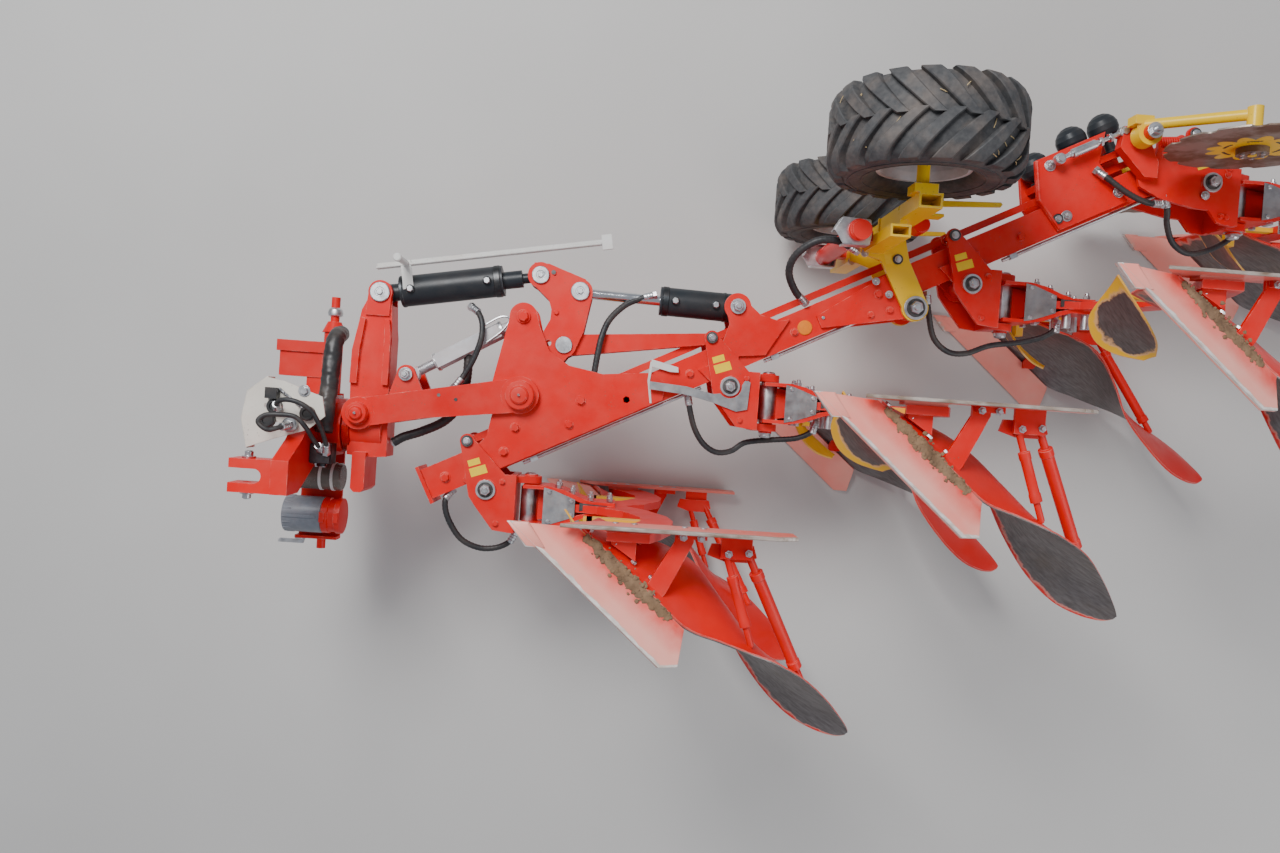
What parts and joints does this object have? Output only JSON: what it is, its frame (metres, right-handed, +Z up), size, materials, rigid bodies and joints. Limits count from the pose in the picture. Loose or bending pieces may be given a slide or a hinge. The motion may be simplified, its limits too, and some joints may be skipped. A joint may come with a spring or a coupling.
{
  "type": "reversible_plough",
  "caption": "Mounted reversible mouldboard plough with variable width linkage, twin depth wheels, skimmers and disc coulters, parked on its lower bodies",
  "frame": {"origin": "middle of the plan box, on the ground that the lower shares and the lower wheel stand on", "axes": "+X backwards against the direction of travel, +Y to the unploughed side, +Z up"},
  "size_m": [4.9692, 2.3868, 1.72],
  "materials": {
    "red_paint": "glossy red paint, dusty",
    "cream_sheet": "cream painted sheet",
    "hose_rubber": "black hose sleeve",
    "grey_plastic": "grey plastic tubes",
    "black_iron": "black hydraulic block",
    "grey_steel": "grey steel, dull",
    "black_paint": "black painted cylinders",
    "zinc_steel": "zinc plated",
    "white_paint": "white painted strip",
    "chrome_rod": "bright piston rod",
    "yellow_paint": "yellow paint, worn",
    "tyre_rubber": "black tyre rubber, dusty lugs",
    "rim_paint": "grey rim paint",
    "soil_steel": "bare steel with dried soil",
    "board_steel": "red paint with a worn dark face",
    "worn_paint": "worn red paint with dried soil"
  },
  "bodies": {
    "frame": {"main_beam": "red_paint", "front_plates": "red_paint", "carrier_arms": "red_paint", "furrow_cylinder": "grey_steel", "beam_plates": "red_paint", "rear_saddle": "red_paint", "accumulators": "black_paint", "steel_pipe": "zinc_steel", "width_scale": "white_paint"},
    "yoke": {"turnover_yoke": "red_paint"},
    "headstock": {"headstock": "red_paint", "cross_shaft": "red_paint", "hose_rack": "cream_sheet", "tool_tubes": "grey_plastic", "valve_block": "black_iron", "hose_sleeve": "hose_rubber"},
    "crank": {"crank_plates": "red_paint"},
    "drag": {"drag_cylinder": "black_paint", "scale_bar": "white_paint"},
    "link": {"control_link": "red_paint"},
    "width_cylinder": {"width_barrel": "black_paint"},
    "width_piston": {"width_rod": "chrome_rod"},
    "steering": {"steering_rod": "red_paint"},
    "wheel_carrier": {"wheel_frame": "yellow_paint", "wheel_stops": "red_paint"},
    "upper_wheel": {"upper_tyre": "tyre_rubber", "upper_rim": "rim_paint"},
    "lower_wheel": {"lower_tyre": "tyre_rubber", "lower_rim": "rim_paint"},
    "upper_coulter": {"upper_disc": "soil_steel"},
    "lower_coulter": {"lower_disc": "soil_steel"},
    "leg_1": {"leg_1_bracket": "red_paint", "leg_1_leg": "red_paint", "leg_1_boards": "board_steel", "leg_1_shares": "worn_paint", "leg_1_landsides": "worn_paint", "leg_1_skimmers": "yellow_paint"},
    "leg_2": {"leg_2_bracket": "red_paint", "leg_2_leg": "red_paint", "leg_2_boards": "board_steel", "leg_2_shares": "worn_paint", "leg_2_landsides": "worn_paint", "leg_2_skimmers": "yellow_paint", "width_pointer": "grey_steel"},
    "leg_3": {"leg_3_bracket": "red_paint", "leg_3_leg": "red_paint", "leg_3_boards": "board_steel", "leg_3_shares": "worn_paint", "leg_3_landsides": "worn_paint", "leg_3_skimmers": "yellow_paint"},
    "leg_4": {"leg_4_bracket": "red_paint", "leg_4_leg": "red_paint", "leg_4_boards": "board_steel", "leg_4_shares": "worn_paint", "leg_4_landsides": "worn_paint", "leg_4_skimmers": "yellow_paint", "coulter_carrier": "red_paint", "coulter_arms": "yellow_paint"}
  },
  "joints": [
    {"name": "width", "type": "hinge", "parent": "frame", "child": "crank", "pos_m": [-1.49257, -0.08463, 0.86], "axis": [0, 0, 1], "range_deg": [-5.1, 14.4]},
    {"name": "leg_1_pivot", "type": "hinge", "parent": "frame", "child": "leg_1", "pos_m": [-1.59957, -0.45563, 0.86], "axis": [0, 0, 1], "range_deg": [-5.4, 14.7]},
    {"name": "leg_2_pivot", "type": "hinge", "parent": "frame", "child": "leg_2", "pos_m": [-0.68961, 0.00522, 0.86], "axis": [0, 0, 1], "range_deg": [-5.4, 14.7]},
    {"name": "leg_3_pivot", "type": "hinge", "parent": "frame", "child": "leg_3", "pos_m": [0.22034, 0.46607, 0.86], "axis": [0, 0, 1], "range_deg": [-5.4, 14.7]},
    {"name": "leg_4_pivot", "type": "hinge", "parent": "frame", "child": "leg_4", "pos_m": [1.1303, 0.92692, 0.86], "axis": [0, 0, 1], "range_deg": [-5.4, 14.7]},
    {"name": "wheel_pivot", "type": "hinge", "parent": "frame", "child": "wheel_carrier", "pos_m": [0.00624, 0.35763, 0.86], "axis": [0, 0, 1], "range_deg": [-5.4, 14.7]},
    {"name": "yoke_pivot", "type": "hinge", "parent": "frame", "child": "yoke", "pos_m": [-2.10257, -0.19563, 0.86], "axis": [0, 0, 1], "range_deg": [-5.4, 14.7]},
    {"name": "drag_cylinder_foot", "type": "hinge", "parent": "yoke", "child": "drag", "pos_m": [-2.05757, 0.27437, 0.86], "axis": [0, 0, 1], "range_deg": [-14.7, 5.4]},
    {"name": "steering_rod_eye", "type": "hinge", "parent": "leg_1", "child": "steering", "pos_m": [-1.68157, -0.27363, 0.86], "axis": [0, 0, 1], "range_deg": [-14.7, 5.4]},
    {"name": "control_link_eye", "type": "hinge", "parent": "steering", "child": "link", "pos_m": [-0.77161, 0.18722, 0.86], "axis": [0, 0, 1], "range_deg": [-6.07, 2.35]},
    {"name": "width_barrel_foot", "type": "hinge", "parent": "frame", "child": "width_cylinder", "pos_m": [-0.67761, 0.31622, 0.86], "axis": [0, 0, 1], "range_deg": [-3.51, 1.44]},
    {"name": "width_rod_slide", "type": "slide", "parent": "width_cylinder", "child": "width_piston", "axis": [-0.9996, 0.028, 0], "range_m": [-0.0417, 0.1121]},
    {"name": "turnover", "type": "hinge", "parent": "yoke", "child": "headstock", "pos_m": [-2.25957, -0.25863, 0.86], "axis": [1, 0, 0], "range_deg": [0, 180]},
    {"name": "upper_wheel_spin", "type": "hinge", "parent": "wheel_carrier", "child": "upper_wheel", "pos_m": [-0.13357, 0.87937, 1.39], "axis": [0, 1, 0], "continuous": true},
    {"name": "lower_wheel_spin", "type": "hinge", "parent": "wheel_carrier", "child": "lower_wheel", "pos_m": [-0.13357, 0.87937, 0.33], "axis": [0, 1, 0], "continuous": true},
    {"name": "upper_disc_spin", "type": "hinge", "parent": "leg_4", "child": "upper_coulter", "pos_m": [1.0703, 0.97192, 1.28], "axis": [0, 1, 0], "continuous": true},
    {"name": "lower_disc_spin", "type": "hinge", "parent": "leg_4", "child": "lower_coulter", "pos_m": [1.0703, 0.97192, 0.44], "axis": [0, 1, 0], "continuous": true}
  ],
  "couplings": [
    {"joint": "leg_1_pivot", "follows": "width", "ratio": 1},
    {"joint": "leg_2_pivot", "follows": "width", "ratio": 1},
    {"joint": "leg_3_pivot", "follows": "width", "ratio": 1},
    {"joint": "leg_4_pivot", "follows": "width", "ratio": 1},
    {"joint": "wheel_pivot", "follows": "width", "ratio": 1},
    {"joint": "yoke_pivot", "follows": "width", "ratio": 1},
    {"joint": "drag_cylinder_foot", "follows": "width", "ratio": -1},
    {"joint": "steering_rod_eye", "follows": "width", "ratio": -1},
    {"joint": "control_link_eye", "follows": "width", "ratio": -0.401},
    {"joint": "width_barrel_foot", "follows": "width", "ratio": -0.22323},
    {"joint": "width_rod_slide", "follows": "width", "m_per_rad": 0.43429}
  ]
}
